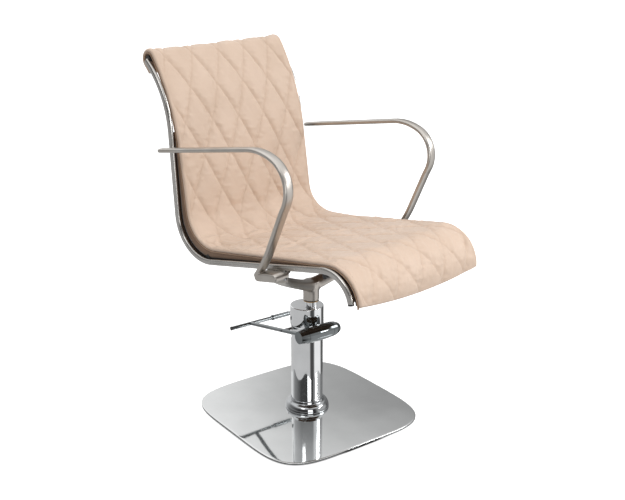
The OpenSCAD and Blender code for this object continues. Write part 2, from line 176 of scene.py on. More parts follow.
def slab(name, top, bottom, material):
    """A closed sheet between two grids of points, top and bottom, each rows x cols x 3."""
    rows, cols, _ = top.shape
    count = rows * cols
    points = np.concatenate([top.reshape(-1, 3), bottom.reshape(-1, 3)])
    faces = [grid_faces(rows, cols, flip=True), grid_faces(rows, cols, count)]
    index = np.arange(count).reshape(rows, cols)
    rim = np.concatenate([index[0, :], index[1:, -1], index[-1, -2::-1], index[-2:0:-1, 0]])
    after = np.roll(rim, -1)
    faces.append(np.stack([rim, after, after + count, rim + count], 1))
    return make_object(name, points, np.concatenate(faces).tolist(), material)


def ring_faces(rings, sides, first=0):
    """Faces of a closed sweep whose rings of points are stored one after the other from index first."""
    index = first + np.arange(rings * sides).reshape(rings, sides)
    around = np.roll(index, -1, axis=1)
    faces = np.stack([index[:-1], around[:-1], around[1:], index[1:]], -1).reshape(-1, 4).tolist()
    return faces + [index[0][::-1].tolist(), index[-1].tolist()]


def tube(name, rings, material):
    """A closed sweep through rings of points: rings x points x 3."""
    return make_object(name, rings.reshape(-1, 3), ring_faces(*rings.shape[:2]), material)


def melt(piece, voxel, rounds):
    """Melts a casting's edges into soft corners and fillets."""
    remesh = piece.modifiers.new("melt", "REMESH")
    remesh.mode = "VOXEL"
    remesh.voxel_size = voxel
    remesh.use_smooth_shade = True
    soften = piece.modifiers.new("soften", "SMOOTH")
    soften.factor = 0.6
    soften.iterations = rounds


# ---------------------------------------------------------------- CAD nodes
SHARP_ANGLE = math.radians(32)  # an edge that bends more than this stays sharp


def smooth_cad(node):
    mesh = NODES[node].data
    mesh.polygons.foreach_set("use_smooth", [True] * len(mesh.polygons))
    mesh.set_sharp_from_angle(angle=SHARP_ANGLE)


def paint(node, material):
    mesh = NODES[node].data
    mesh.materials.clear()
    mesh.materials.append(material)
    mesh.polygons.foreach_set("material_index", [0] * len(mesh.polygons))


# ---------------------------------------------------------------- material helpers
NOISE_RANGE = (0.3, 0.7)  # where most values of a noise texture lie
FULL_RANGE = (0.0, 1.0)


def new_material(name):
    material = bpy.data.materials.new(name)
    material.use_nodes = True
    tree = material.node_tree
    return material, tree, tree.nodes["Principled BSDF"]


def texture(tree, kind, scale, vector=None, **inputs):
    node = tree.nodes.new("ShaderNodeTex" + kind)
    node.inputs["Scale"].default_value = scale
    for key, value in inputs.items():
        node.inputs[key].default_value = value
    if vector is None:
        vector = tree.nodes.new("ShaderNodeTexCoord").outputs["Object"]
    tree.links.new(vector, node.inputs["Vector"])
    return node


def stretched(tree, scale):
    """Object coordinates scaled differently along each axis, for brushed lines."""
    coordinates = tree.nodes.new("ShaderNodeTexCoord")
    mapping = tree.nodes.new("ShaderNodeMapping")
    mapping.inputs["Scale"].default_value = scale
    tree.links.new(coordinates.outputs["Object"], mapping.inputs["Vector"])
    return mapping.outputs["Vector"]


def ramp(tree, value, low, high, span=NOISE_RANGE):
    """A ramp between two colours, or two greys given as numbers, over a span of the value."""
    node = tree.nodes.new("ShaderNodeValToRGB")
    for element, position, colour in zip(node.color_ramp.elements, span, (low, high)):
        element.position = position
        element.color = (*colour, 1) if isinstance(colour, tuple) else (colour, colour, colour, 1)
    tree.links.new(value, node.inputs["Fac"])
    return node.outputs["Color"]


def colour_mix(tree, blend, factor, first, second):
    """Mixes the colour of a socket with a fixed colour."""
    node = tree.nodes.new("ShaderNodeMix")
    node.data_type = "RGBA"
    node.blend_type = blend
    node.inputs["B"].default_value = (*second, 1)
    tree.links.new(factor, node.inputs["Factor"])
    tree.links.new(first, node.inputs["A"])
    return node.outputs["Result"]


def bump(tree, shader, height, distance, strength=0.5, normal=None):
    node = tree.nodes.new("ShaderNodeBump")
    node.inputs["Distance"].default_value = distance
    node.inputs["Strength"].default_value = strength
    tree.links.new(height, node.inputs["Height"])
    if normal is not None:
        tree.links.new(normal, node.inputs["Normal"])
    tree.links.new(node.outputs["Normal"], shader.inputs["Normal"])
    return node.outputs["Normal"]


# texture scales: the higher, the finer
LEATHER_MOTTLE = 9
LEATHER_PORES = 900
LEATHER_CREASES = 260
LEATHER_GLOSS = 30
METAL_TONE = 14
METAL_LINES = 400
METAL_WAVE = 7
PLAIN_TONE = 40

CREASE_DEPTH = 1.6  # against the depth of the pores
MOULD_GRAIN = 0.0001  # depth of the grain in plastic and rubber
SEAM_PAINTED_SHADE = (0.89, 0.86, 0.83)  # painted shade: the leather's colour in a seam, against its colour beside it


def leather(name, dark, light, grain=0.0004, roughness=(0.38, 0.52), sheen=0.35, painted_seams=False):
    """Leather with a mottled colour, fine pores and creases and, where asked, painted shade along its
    seams.
    """
    material, tree, shader = new_material(name)
    mottle = texture(tree, "Noise", LEATHER_MOTTLE, Detail=5, Roughness=0.6)
    colour = ramp(tree, mottle.outputs["Fac"], dark, light)
    if painted_seams:
        # painted shade: the colour is darkened along the seams, by a point attribute on the pad
        painted_seam_shade = tree.nodes.new("ShaderNodeAttribute")
        painted_seam_shade.attribute_name = "painted_seam_shade"
        colour = colour_mix(tree, "MULTIPLY", painted_seam_shade.outputs["Fac"], colour, SEAM_PAINTED_SHADE)
    tree.links.new(colour, shader.inputs["Base Color"])
    pores = texture(tree, "Voronoi", LEATHER_PORES)
    creases = texture(tree, "Noise", LEATHER_CREASES, Detail=4, Roughness=0.7)
    normal = bump(tree, shader, pores.outputs["Distance"], grain, strength=0.55)
    bump(tree, shader, creases.outputs["Fac"], grain * CREASE_DEPTH, normal=normal)
    gloss = texture(tree, "Noise", LEATHER_GLOSS, Detail=3)
    tree.links.new(ramp(tree, gloss.outputs["Fac"], *roughness), shader.inputs["Roughness"])
    shader.inputs["Sheen Weight"].default_value = sheen
    shader.inputs["Sheen Roughness"].default_value = 0.4
    shader.inputs["Specular IOR Level"].default_value = 0.38
    return material


def metal(name, dark, light, roughness, brushed=(1, 1, 1), grain=0.00002, wave=0.0):
    """Metal with a slow change of tone, uneven roughness, fine lines and, where asked, a slow wave."""
    material, tree, shader = new_material(name)
    shader.inputs["Metallic"].default_value = 1.0
    tone = texture(tree, "Noise", METAL_TONE, Detail=3)
    tree.links.new(ramp(tree, tone.outputs["Fac"], dark, light), shader.inputs["Base Color"])
    lines = texture(tree, "Noise", METAL_LINES, stretched(tree, brushed), Detail=4, Roughness=0.65)
    tree.links.new(ramp(tree, lines.outputs["Fac"], *roughness), shader.inputs["Roughness"])
    normal = bump(tree, shader, lines.outputs["Fac"], grain)
    if wave:
        slow = texture(tree, "Noise", METAL_WAVE, Detail=1)
        bump(tree, shader, slow.outputs["Fac"], wave, strength=1.0, normal=normal)
    return material


def plain(name, dark, light, roughness, grain_scale=500):
    """Rubber, plastic and thread: two close tones and a fine grain."""
    material, tree, shader = new_material(name)
    tone = texture(tree, "Noise", PLAIN_TONE, Detail=4)
    tree.links.new(ramp(tree, tone.outputs["Fac"], dark, light), shader.inputs["Base Color"])
    grains = texture(tree, "Noise", grain_scale, Detail=2)
    bump(tree, shader, grains.outputs["Fac"], MOULD_GRAIN)
    tree.links.new(ramp(tree, grains.outputs["Fac"], *roughness), shader.inputs["Roughness"])
    return material


# ---------------------------------------------------------------- materials
LEATHER = leather("leather_beige", (0.625, 0.470, 0.360), (0.680, 0.520, 0.408), painted_seams=True)
# painted shade: a darker tan copy of the beige leather, for the welt on the pad's side, which lies in shade
WELT_PAINTED_SHADE = leather("leather_welt_painted_shade", (0.280, 0.175, 0.110), (0.360, 0.235, 0.155), grain=0.0002)
# painted shade: a dark brown copy of the beige leather, for the panel and the gusset's upper part, which
# lie in shade under the pad
BROWN_PAINTED_SHADE = leather("leather_brown_painted_shade", (0.150, 0.085, 0.048), (0.205, 0.122, 0.074))
# near-black leather: partly the real dark edge band along the rail, partly painted shade of the gap under
# the pad's edge
DARK_EDGE_AND_PAINTED_SHADE = leather(
    "leather_dark_and_painted_shade", (0.012, 0.009, 0.007), (0.022, 0.017, 0.013), roughness=(0.5, 0.7), sheen=0.0)
THREAD = plain("thread_beige", (0.57, 0.43, 0.33), (0.68, 0.53, 0.41), (0.5, 0.7), grain_scale=1800)
RAIL_METAL = metal(
    "satin_aluminium", (0.42, 0.405, 0.385), (0.52, 0.505, 0.485), (0.20, 0.30), brushed=(1, 0.06, 0.06))
CAST_METAL = metal(
    "cast_aluminium", (0.42, 0.39, 0.355), (0.52, 0.485, 0.45), (0.30, 0.42), grain=0.00004)
ARM_METAL = metal(
    "arm_aluminium", (0.46, 0.43, 0.395), (0.54, 0.51, 0.475), (0.30, 0.40), brushed=(1, 0.1, 0.1))
# painted reflection: chrome darkened to show the dark surroundings that it reflects, leaving only bright
# highlights
CHROME_PAINTED_DARK = metal(
    "chrome_painted_dark", (0.14, 0.15, 0.155), (0.20, 0.215, 0.22), (0.03, 0.06), grain=0.000004)
CHROME = metal("chrome", (0.74, 0.75, 0.76), (0.82, 0.83, 0.84), (0.03, 0.08), grain=0.000004)
PLATE_METAL = metal(
    "polished_steel", (0.68, 0.69, 0.69), (0.72, 0.73, 0.73), (0.04, 0.07), grain=0.000002, wave=0.0006)
# painted reflection: chrome dimmed so that the bell shows darker reflections
CHROME_PAINTED_DIM = metal(
    "chrome_painted_dim", (0.36, 0.37, 0.38), (0.44, 0.45, 0.46), (0.04, 0.08), grain=0.000004)
STEEL = metal("plain_steel", (0.36, 0.36, 0.36), (0.46, 0.46, 0.46), (0.28, 0.42))
BRONZE = metal("bronze", (0.42, 0.27, 0.12), (0.52, 0.35, 0.17), (0.25, 0.40))
RUBBER = plain("black_rubber", (0.018, 0.018, 0.018), (0.032, 0.032, 0.032), (0.6, 0.8))
PLASTIC = plain("black_plastic", (0.014, 0.014, 0.014), (0.026, 0.026, 0.026), (0.35, 0.5))

FINISH = {
    "satin_aluminium": RAIL_METAL,
    "cast_aluminium": CAST_METAL,
    "dark_caps": PLASTIC,
    "chrome": CHROME,
    "polished_steel": PLATE_METAL,
    "rubber": RUBBER,
    "bronze": BRONZE,
    "steel": STEEL,
    "leather": LEATHER,
    "dark_edge": DARK_EDGE_AND_PAINTED_SHADE,
    "panel": BROWN_PAINTED_SHADE,
    "foam": BROWN_PAINTED_SHADE,
}
ARMS = ("left_arm", "right_arm")
BLACK_TUBES = ("top_tube", "rear_tube", "front_tube")
# parts in the darkened chrome, whose darkness is painted reflection
CHROME_PAINTED_DARK_PARTS = (
    "lever_housing", "housing_rings", "left_knuckle", "right_knuckle", "lever_rod", "tread_ring",
    "cross_shaft", "tread_bar", "tread_sleeve",
)
for part in frame["record"]["subparts"]:
    paint(part["node"], FINISH[part["material_slot"]])
    smooth_cad(part["node"])
for nodes, material in ((ARMS, ARM_METAL), (BLACK_TUBES, PLASTIC), (CHROME_PAINTED_DARK_PARTS, CHROME_PAINTED_DARK)):
    for node in nodes:
        paint(node, material)

# ---------------------------------------------------------------- leather pad: sizes
DIAMOND_W = 0.093  # across the pad
DIAMOND_H = 0.186  # along it
DIAMOND_X = -0.012  # one crossing of the seams
DIAMOND_S = 1.110
SEAM_GAP = DIAMOND_W * DIAMOND_H / math.hypot(DIAMOND_W, DIAMOND_H)  # between two seams of one family
BEND_S = 0.600  # in the bend between seat and back

TOP_RISE_START = 0.85  # where the cover begins to stand higher than the CAD
TOP_RISE_RUN = 0.25
TOP_RISE_MIDDLE = 0.003
TOP_RISE_TILT = 0.006  # added at the right end, taken off at the left end
TOP_RISE_LEFT = 0.6  # share of it that the left half shows

PUFF_HEIGHT = 0.0074
PUFF_SLOPE = 0.008  # how far beside a seam the leather takes to rise
PUFF_CROWN = 0.8  # share of the height left midway between two seams
CROSS_SLOPE = 0.009  # the same beside the second family of seams
CROSS_DEPTH = 0.9  # share of the height that those seams take away
SEAM_DEPTH = 0.0020
THIN_PLACES = (  # place along the pad, reach, loss of height
    (0.25, 0.14, 0.0012),  # the front half of the seat
    (0.05, 0.08, 0.0034),  # the front edge
    (1.16, 0.06, 0.0030),  # the top roll
)
PUCKER_HEIGHT = 0.0016
PUCKER_START = 0.0030  # puckers start this far from a seam
PUCKER_REACH = 0.012
FOLD_HEIGHT = 0.0019
BEND_FOLDS = (BEND_S - 0.01, 0.08)  # place and reach along the pad
SEAT_FOLDS = (0.36, 0.12)
SEAT_FOLD_SHARE = 0.6  # against the folds in the bend
SIDE_FOLD_HEIGHT = 0.0010
SIDE_FOLD_REACH = 0.045
HEM_FOLD_HEIGHT = 0.0016
HEM_FOLDS = (0.06, 0.06)
WAVE_SPREAD = 0.35  # how much the waves of one field differ in length
WAVE_SLANT = 0.8  # how much they run askew

HEM_START = 0.001  # where the front hem lies at the pad's middle line, before the next two
HEM_LEAN = 0.008  # lower at the right end, higher at the left
HEM_BOW = 0.015  # lower in the middle
EDGE_ROUND = 0.006  # radius of the pad's rolled edges
EDGE_FADE = 0.02  # the puff dies out over this width
SIDE_ROLL_HEIGHT = 0.0030
SIDE_ROLL_REACH = 0.022
CORNER_HEIGHT = 0.006  # of the bulge at the right end of the bend
CORNER_REACH = 0.06
CORNER_PLACE = (BEND_S - 0.02, 0.07)  # place and reach along the pad

PAD_COLUMNS = 171
PAD_ROWS = 430
EDGE_CROWDING = 1.12  # above 1, columns stand closer at the pad's edges
SHADE_WIDTH = 0.0026  # of the painted shade along a seam
SHADE_CROSS = 0.8  # its strength along the second family of seams
SHADE_MARGIN = 0.008  # no painted shade this close to the side
SHADE_FADE = 0.004
SHADE_LEAST = 0.65  # its strength away from the back
SHADE_BACK = (0.9, 0.3)  # place and reach along the pad


# ---------------------------------------------------------------- leather pad: shape
def near(value, middle, spread):
    """A bell curve: 1 at the middle, about a third of that one spread away."""
    return np.exp(-(((value - middle) / spread) ** 2))


def top_rise(s, x):
    """The cover stands a little higher than the CAD over the top roll, most at its right end."""
    across = TOP_RISE_MIDDLE + TOP_RISE_TILT * x / PAD_HALF
    along = np.clip((s - TOP_RISE_START) / TOP_RISE_RUN, 0, 1) ** 2
    return across * along * np.where(np.asarray(x) > 0, 1, TOP_RISE_LEFT)


def seam_places(s, x):
    """How far a point is from the nearest seam of each family, in metres."""
    u = (x - DIAMOND_X) / DIAMOND_W
    w = (s - DIAMOND_S) / DIAMOND_H
    return [np.abs(q - np.round(q)) * SEAM_GAP for q in (u + w, u - w)]


def waves(s, x, seed, count, length_s, length_x):
    """A smooth random field: a sum of sines of about the lengths given, the same at each run."""
    rng = np.random.default_rng(seed)
    total = 0 * s
    for _ in range(count):
        per_s = rng.normal(1, WAVE_SPREAD) / length_s
        per_x = rng.normal(0, WAVE_SLANT) / length_x
        total = total + np.sin(2 * math.pi * (per_s * s + per_x * x + rng.random()))
    return total / math.sqrt(count)


def pad_lift(s, x):
    """Height of the leather above the CAD's surface: puffed diamonds, puckers at the seams, loose folds."""
    first, second = seam_places(s, x)
    nearest = np.minimum(first, second)
    puff = (1 - np.exp(-first / PUFF_SLOPE)) * (1 - CROSS_DEPTH * np.exp(-second / CROSS_SLOPE))
    crown = np.cos(math.pi * np.clip(first / SEAM_GAP, 0, 0.5))
    puff = puff * (PUFF_CROWN + (1 - PUFF_CROWN) * crown)
    soft = PUFF_HEIGHT
    for place, reach, loss in THIN_PLACES:
        soft = soft - loss * near(s, place, reach)
    pucker = waves(s, x, seed=3, count=16, length_s=0.026, length_x=0.020) * PUCKER_HEIGHT
    pucker = pucker * np.exp(-nearest / PUCKER_REACH) * (1 - np.exp(-nearest / PUCKER_START))
    folds = waves(s, x, seed=5, count=9, length_s=0.036, length_x=0.12) * FOLD_HEIGHT
    folds = folds * (near(s, *BEND_FOLDS) + SEAT_FOLD_SHARE * near(s, *SEAT_FOLDS))
    side_folds = waves(s, x, seed=8, count=9, length_s=0.040, length_x=0.09) * SIDE_FOLD_HEIGHT
    side_folds = side_folds * near(np.abs(x), PAD_HALF, SIDE_FOLD_REACH)
    hem_folds = waves(s, x, seed=13, count=8, length_s=0.10, length_x=0.05) * HEM_FOLD_HEIGHT
    hem_folds = hem_folds * near(s, *HEM_FOLDS)
    return soft * puff + pucker + folds + side_folds + hem_folds - SEAM_DEPTH


def pad_start(x):
    """Where the front hem lies: it bows down in the middle and leans down to the right."""
    return HEM_START - HEM_LEAN * x / PAD_HALF - HEM_BOW * (1 - (x / PAD_HALF) ** 2)


def pad_point(s, x, under=False):
    """A point on the leather, or on the pad's underside."""
    y, z, ny, nz = PAD.at(s)
    edge = np.clip((np.abs(x) - (PAD_HALF - EDGE_ROUND)) / EDGE_ROUND, 0, 1)
    hem = np.clip((pad_start(x) + EDGE_ROUND - s) / EDGE_ROUND, 0, 1)
    rolled = np.sqrt(np.clip(1 - np.maximum(edge, hem) ** 2, 0, 1))
    middle = -PAD_THICK / 2
    if under:
        height = middle - (PAD_THICK + middle) * rolled
    else:
        corner = CORNER_HEIGHT * near(x, PAD_HALF, CORNER_REACH) * near(s, *CORNER_PLACE)
        side_roll = SIDE_ROLL_HEIGHT * near(np.abs(x), PAD_HALF, SIDE_ROLL_REACH) + corner
        lift = pad_lift(s, x) * np.clip((PAD_HALF - np.abs(x)) / EDGE_FADE, 0, 1)
        height = middle + (lift + side_roll - middle) * rolled
    return np.stack([x + 0 * s, y + height * ny, z + height * nz + top_rise(s, x)], -1)


def painted_shade_at_seams(s, x):
    """How much shade is painted on the leather at a point: 1 in a seam on the back."""
    first, second = seam_places(s, x)
    line = near(first, 0, SHADE_WIDTH) + SHADE_CROSS * near(second, 0, SHADE_WIDTH)
    shade = np.clip(line, 0, 1) * np.clip((PAD_HALF - SHADE_MARGIN - np.abs(x)) / SHADE_FADE, 0, 1)
    return shade * (SHADE_LEAST + (1 - SHADE_LEAST) * near(s, *SHADE_BACK))


def build_pad():
    columns = np.linspace(-PAD_HALF, PAD_HALF, PAD_COLUMNS)
    columns = np.sign(columns) * PAD_HALF * (1 - (1 - np.abs(columns) / PAD_HALF) ** EDGE_CROWDING)
    rows = np.linspace(0, 1, PAD_ROWS)[:, None]
    start = pad_start(columns)[None]
    s = start + (PAD.length - start) * rows
    x = columns[None] + 0 * s
    pad = slab("leather_pad_quilted", pad_point(s, x), pad_point(s, x, under=True), LEATHER)
    # painted shade along the seams, kept in a point attribute; the underside gets none
    shade = painted_shade_at_seams(s, x).ravel()
    painted_seam_shade = pad.data.attributes.new("painted_seam_shade", "FLOAT", "POINT")
    painted_seam_shade.data.foreach_set("value", np.concatenate([shade, 0 * shade]))
    settle(pad, "seat", "leather", "leather_pad", "seat_foam", "lumbar_foam")


# ---------------------------------------------------------------- stitches
STITCH_PITCH = 0.0062
STITCH_LENGTH = 0.0042
STITCH_RADIUS = 0.00045
SEAM_STITCH_RADIUS = 0.0003
STITCH_SIDES = 6
STITCH_PROFILE = ((0.0, 0.3), (0.15, 1.0), (0.85, 1.0), (1.0, 0.3))  # share of length, share of radius
HEM_ROW = 0.011  # from the hem
HEM_ROW_END = 0.012  # from the sides
SIDE_ROW = 0.010  # from the side
SIDE_ROW_START = 0.020
ROW_END_GAP = 0.030  # stitches stop this far before the pad's end
SEAM_ROW_START = 0.030
SEAM_ROW_SIDE = 0.013  # from the side
SEAM_COUNT = 12  # seams looked at on each side of the middle one


def stitches(name, places, radius=STITCH_RADIUS):
    """Short threads that lie on the leather; places is a list of (s, x, direction s, direction x)."""
    s, x, ds, dx = (np.array(column) for column in zip(*places))
    reach = STITCH_LENGTH / 2
    start = pad_point(s - ds * reach, x - dx * reach)
    end = pad_point(s + ds * reach, x + dx * reach)
    axis = (end - start) / np.linalg.norm(end - start, axis=1, keepdims=True)
    _, _, ny, nz = PAD.at(s)
    up = np.stack([0 * s, ny, nz], 1)
    side = np.cross(axis, up)
    points = []
    faces = []
    for i in range(len(s)):
        faces += ring_faces(len(STITCH_PROFILE), STITCH_SIDES, len(points))
        for share, swell in STITCH_PROFILE:
            middle = start[i] * (1 - share) + end[i] * share + up[i] * radius * (swell - 0.5)
            for a in round_angles(STITCH_SIDES):
                points.append(middle + radius * swell * (math.cos(a) * side[i] + math.sin(a) * up[i]))
    settle(make_object(name, points, faces, THREAD), "seat", "leather")


def build_stitching():
    """Rows along the hem, the sides and both families of seams."""
    hem_x = np.arange(-PAD_HALF + HEM_ROW_END, PAD_HALF - HEM_ROW_END, STITCH_PITCH)
    stitches("hem_stitches", [(float(pad_start(x)) + HEM_ROW, x, 0.0, 1.0) for x in hem_x])
    side_s = np.arange(SIDE_ROW_START, PAD.length - ROW_END_GAP, STITCH_PITCH)
    for side, name in SIDES:
        stitches(name + "_side_stitches", [(s, side * (PAD_HALF - SIDE_ROW), 1.0, 0.0) for s in side_s])
    slope = DIAMOND_W / DIAMOND_H
    lean = math.atan(slope)
    seam_s = np.arange(SEAM_ROW_START, PAD.length - ROW_END_GAP, STITCH_PITCH / math.hypot(1, slope))
    for family, name in ((1, "rising"), (-1, "falling")):
        row = []
        for s in seam_s:
            for k in range(-SEAM_COUNT, SEAM_COUNT + 1):
                x = DIAMOND_X + DIAMOND_W * k - family * slope * (s - DIAMOND_S)
                if abs(x) < PAD_HALF - SEAM_ROW_SIDE:
                    row.append((s, x, math.cos(lean), -family * math.sin(lean)))
        stitches(name + "_seam_stitches", row, SEAM_STITCH_RADIUS)


# ---------------------------------------------------------------- edges of the pad
STRIP_STEP = 0.004
STRIP_SIDES = 20
GUSSET_START = 0.16  # along the pad
GUSSET_END = 0.88
GUSSET_STEPS = 180
GUSSET_ROWS = 7
GUSSET_TOP = 0.0090  # below the pad's surface
GUSSET_BOTTOM = 0.005  # above the rail's middle line
GUSSET_THICK = 0.002
GUSSET_BULGE = 0.0010
GUSSET_PARTS = (  # name, first and last share of the way down, material, inset from the pad's side
    ("upper", 0.0, 0.72, BROWN_PAINTED_SHADE, 0.0012),
    ("lower", 0.62, 1.0, DARK_EDGE_AND_PAINTED_SHADE, 0.0022),
)
RAIL_SAMPLES = 1200


def strip(name, start, end, x_mid, offset, half_x, half_n, material, power):
    """A rounded strip along the pad's curve: half_x across the chair, half_n square to the curve."""
    s = np.linspace(start, end, int((end - start) / STRIP_STEP))
    y, z, ny, nz = PAD.at(s)
    z = z + top_rise(s, x_mid)
    centres = np.stack([x_mid + 0 * s, y + offset * ny, z + offset * nz], 1)
    across, along = squared_circle(round_angles(STRIP_SIDES), power)
    across = half_x * across
    along = half_n * along
    rings = [across[None] + 0 * s[:, None], along[None] * ny[:, None], along[None] * nz[:, None]]
    return tube(name, centres[:, None, :] + np.stack(rings, -1), material)


def build_welt(side, name):
    # the welt's tan colour is painted shade of the beige leather
    welt = strip(
        name + "_welt", start=0.004, end=PAD.length - 0.002, x_mid=side * (PAD_HALF - 0.0022),
        offset=-0.0079, half_x=0.0027, half_n=0.0017, material=WELT_PAINTED_SHADE, power=2.4)
    settle(welt, "seat", "leather")


def build_dark_edge_and_shade_strip(side, name):
    # a near-black strip along the rail: partly a real dark edge band, partly painted shade of the gap
    # between pad and rail
    band = strip(
        name + "_dark_edge_and_shade_strip", start=0.012, end=0.860, x_mid=side * (PAD_HALF - 0.0082),
        offset=-0.0132, half_x=0.0048, half_n=0.0040, material=DARK_EDGE_AND_PAINTED_SHADE, power=4)
    settle(band, "seat", "dark_edge", name + "_edge_band")


def build_gusset(side, name):
    """Two strips of leather that close the side between the pad and the rail, brown above, black below:
    painted shade, darker towards the rail.
    """
    s = np.linspace(GUSSET_START, GUSSET_END, GUSSET_STEPS)
    y, z, ny, nz = PAD.at(s)
    high = np.stack([y - GUSSET_TOP * ny, z - GUSSET_TOP * nz], 1)
    y, z, ny, nz = RAIL.at(np.linspace(0, RAIL.length, RAIL_SAMPLES))
    rail = np.stack([y + GUSSET_BOTTOM * ny, z + GUSSET_BOTTOM * nz], 1)
    gaps = np.hypot(high[:, None, 0] - rail[None, :, 0], high[:, None, 1] - rail[None, :, 1])
    low = rail[np.argmin(gaps, axis=1)]
    for part, first, last, material, inset in GUSSET_PARTS:
        share = np.linspace(first, last, GUSSET_ROWS)[None, :, None]
        sheet = high[:, None, :] * (1 - share) + low[:, None, :] * share
        bulge = GUSSET_BULGE * np.sin(math.pi * (share[..., 0] - first) / (last - first)) + 0 * s[:, None]
        layers = []
        for depth in (0, GUSSET_THICK):
            x = side * (PAD_HALF - inset - depth + bulge)
            layers.append(np.concatenate([x[..., None], sheet], -1))
        gusset = slab(name + "_gusset_" + part, *layers, material)
        settle(gusset, "seat", "panel")


def build_edges():
    for side, name in SIDES:
        build_welt(side, name)
        build_dark_edge_and_shade_strip(side, name)
        build_gusset(side, name)


# ---------------------------------------------------------------- support panel
PANEL_TOP = -0.002  # against the rail's middle line
PANEL_BOTTOM = -0.007
PANEL_GROOVE = 0.0008  # depth of the sewn groove round the panel
PANEL_GROOVE_PLACE = (0.014, 0.003)  # from the rim, and its half width
PANEL_ROLL = 0.0012  # how far the rim is rolled in
PANEL_ROLL_WIDTH = 0.004
PANEL_COLUMNS = 61
PANEL_ROWS = 170


def build_panel():
    """The formed panel between the rails, covered in beige leather coloured dark brown as painted shade,
    with a rolled rim and a sewn groove.
    """
    end = RAIL.length - RAIL_TOP_RADIUS * math.radians(RAIL_TOP_TURN)
    x = np.linspace(-PAD_HALF, PAD_HALF, PANEL_COLUMNS)[None]
    s = np.linspace(0, end, PANEL_ROWS)[:, None]
    y, z, ny, nz = RAIL.at(s)
    rim = np.minimum(PAD_HALF - np.abs(x), np.minimum(s, end - s) + 0 * x)
    groove = PANEL_GROOVE * near(rim, *PANEL_GROOVE_PLACE)
    roll = PANEL_ROLL * (1 - np.clip(rim / PANEL_ROLL_WIDTH, 0, 1)) ** 2
    layers = []
    for offset, inward in ((PANEL_TOP, -1), (PANEL_BOTTOM, 1)):
        height = offset + inward * (groove + roll)
        layers.append(np.stack([x + 0 * s, y + height * ny, z + height * nz], -1))
    panel = slab("support_panel_covered", *layers, BROWN_PAINTED_SHADE)
    settle(panel, "seat", "panel", "support_panel")


# ---------------------------------------------------------------- base
PLATE_SIDES = 288
PLATE_NOSE = 0.0030  # radius of the rounded lip
PLATE_CENTRE = 0.16  # share of the half size where the top's rings start, under the column
PLATE_RINGS = np.concatenate([np.linspace(PLATE_CENTRE, 0.9, 16), np.linspace(0.92, 1.0, 6)])
PLATE_BOTTOM = 0.0021
LIP_DOWN = 0.20  # share of the rim's height that the lip takes
RIM_LINE = (  # inset and share of the way down: a shadow line under the lip, then the upright rim
    (0.0002, 0.28), (0.0014, 0.30), (0.0016, 0.37), (0.0006, 0.40), (0.0003, 0.50), (0.0003, 0.75),
)
FOOT_INSET = 0.0022  # how far the rim's bottom edge is rounded in
FOOT_START = 0.75  # share of the way down where that begins
SHADOW_LINE_RING = (  # painted shadow: a black ring whose rim peeks out under the lip as a dark line; inset and depth below the plate's edge
    (0.0300, 0.0024), (0.0005, 0.0024), (0.0003, 0.0028),
    (0.0003, 0.0052), (0.0005, 0.0056), (0.0300, 0.0056),
)
# the bell's profile, each point a radius and a height
BELL_NECK = ((0.0450, 0.0460), (0.0464, 0.0463), (0.0471, 0.0455), (0.0471, 0.0405))
BELL_MIDDLE = (0.0478, 0.0166)  # the skirt is a quarter of an ellipse round this point
BELL_BEND = (0.0142, 0.0215)  # its half axes
BELL_FOOT = ((0.0610, 0.0163), (0.0450, 0.0163))
BELL_SIDES = 128


def on_base(points):
    """Moves points from the base's own frame to the chair's."""
    c, s = math.cos(BASE_TURN), math.sin(BASE_TURN)
    x, y = points[..., 0], points[..., 1] + BASE_BACK
    return np.stack([c * x - s * y, s * x + c * y, points[..., 2]], -1)


def build_plate():
    """Domed plate with a rounded rim, one smooth skin, and a black ring under its lip that paints a dark
    shadow line round it.
    """
    outline = np.stack(squared_circle(round_angles(PLATE_SIDES), PLATE_POWER), 1)
    half = np.array([PLATE_HALF_X, PLATE_HALF_Y])
    rings = []
    for share in PLATE_RINGS:
        xy = outline * (half - PLATE_NOSE) * share
        z = PLATE_TOP - PLATE_CROWN * (np.hypot(xy[:, 0], xy[:, 1]) / PLATE_HALF_X) ** 2
        rings.append(np.column_stack([xy, z]))
    rim_z = rings[-1][:, 2]
    skirt = []
    for bend in np.radians(np.linspace(15, 90, 6)):
        skirt.append((PLATE_NOSE * (1 - math.sin(bend)), LIP_DOWN * (1 - math.cos(bend))))
    skirt += RIM_LINE
    upright = RIM_LINE[-1][0]
    for bend in np.radians([30, 60, 90]):
        down = FOOT_START + (1 - FOOT_START) * math.sin(bend)
        skirt.append((upright + FOOT_INSET * (1 - math.cos(bend)), down))
    for inset, down in skirt:
        rings.append(np.column_stack([outline * (half - inset), rim_z + (PLATE_BOTTOM - rim_z) * down]))
    rings.append(np.column_stack([outline * (half - PLATE_NOSE) * PLATE_CENTRE, PLATE_BOTTOM + 0 * rim_z]))
    plate = tube("base_plate_domed", on_base(np.array(rings)), PLATE_METAL)
    settle(plate, "base", "polished_steel", "base_plate")
    line = [np.column_stack([outline * (half - inset), rim_z - down]) for inset, down in SHADOW_LINE_RING]
    shadow_line_ring = tube("base_plate_shadow_line_ring", on_base(np.array(line)), RUBBER)
    settle(shadow_line_ring, "base", "rubber")


